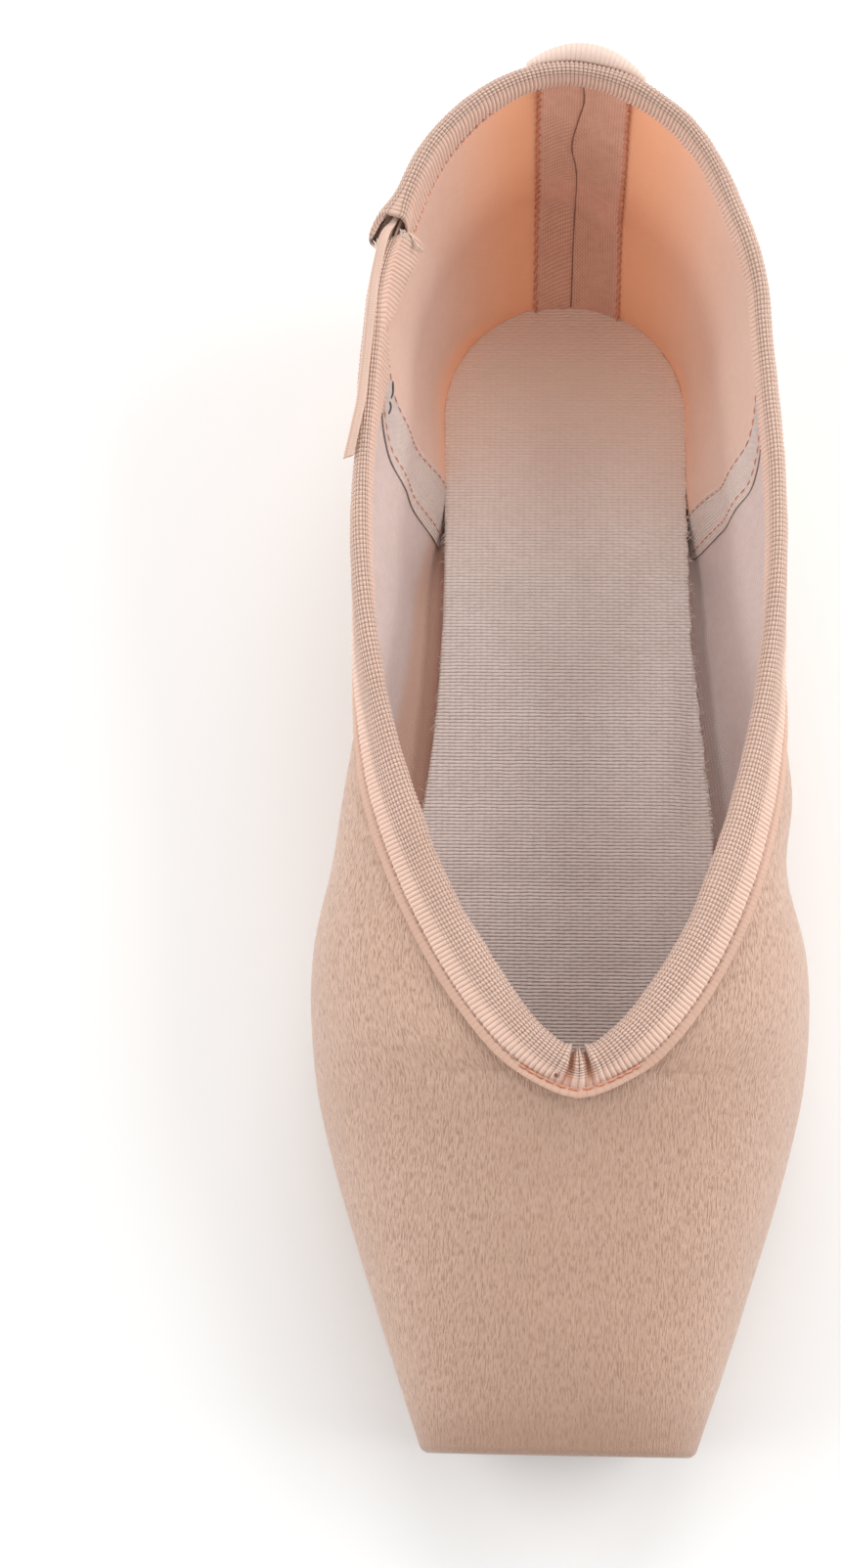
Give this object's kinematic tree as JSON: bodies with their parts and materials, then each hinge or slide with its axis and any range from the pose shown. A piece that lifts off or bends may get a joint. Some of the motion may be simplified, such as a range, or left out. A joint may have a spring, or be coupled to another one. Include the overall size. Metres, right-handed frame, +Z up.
{
  "type": "pointe shoe",
  "caption": "Worn ballet pointe shoe: hollow satin upper with a stiff flat-faced box, leather outsole, covered insole, ribbed casing round the collar and a heel loop.",
  "frame": {"origin": "middle of the shoe's footprint box, at the floor that the sole rests on", "axes": "+Z up, +Y towards the heel and -Y towards the toe, +X to the right as the picture shows the shoe"},
  "size_m": [0.0842, 0.2362, 0.0573],
  "materials": {
    "satin": "peach satin, worn",
    "sole_leather": "split leather, rough side out",
    "sock_cotton": "greyed cotton muslin",
    "casing_grosgrain": "ribbed peach grosgrain",
    "loop_tape": "ribbed peach tape",
    "drawstring_elastic": "flat braided elastic"
  },
  "bodies": {
    "root": {"upper": "satin", "outsole": "sole_leather", "insole": "sock_cotton", "collar_casing": "casing_grosgrain", "heel_loop": "loop_tape", "drawstring_end": "drawstring_elastic"}
  },
  "joints": []
}
